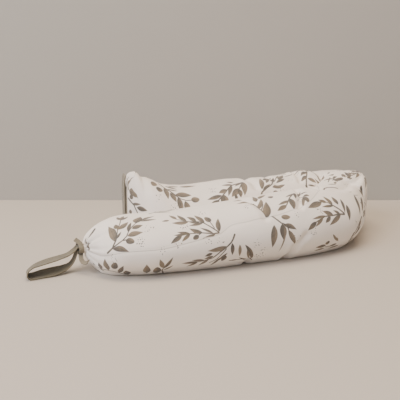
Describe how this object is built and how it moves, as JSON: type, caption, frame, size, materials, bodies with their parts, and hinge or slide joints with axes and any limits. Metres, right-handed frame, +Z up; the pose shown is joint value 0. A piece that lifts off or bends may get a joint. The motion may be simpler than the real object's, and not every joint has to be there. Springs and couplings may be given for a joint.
{
  "type": "draught excluder",
  "caption": "Long stuffed cotton tube folded back on itself, gathered and tied at one end with a hanging loop of tape, sewn flat at the other.",
  "frame": {"origin": "on the table under the middle of the box round the whole folded object", "axes": "+X along the two legs towards the bend, the hanging loop points to -X; +Y from the near leg to the far leg; +Z up"},
  "size_m": [0.5938, 0.2374, 0.1205],
  "materials": {
    "printed_cotton": "off-white plain-weave cotton printed with taupe leaf sprigs",
    "loop_tape": "olive-khaki woven cotton tape",
    "tie_tape": "olive-khaki woven cotton tape",
    "far_tape": "olive-khaki woven cotton tape"
  },
  "bodies": {
    "root": {"tube_cushion": "printed_cotton", "hanging_loop": "loop_tape", "end_tie": "tie_tape", "far_loop": "far_tape"}
  },
  "joints": []
}
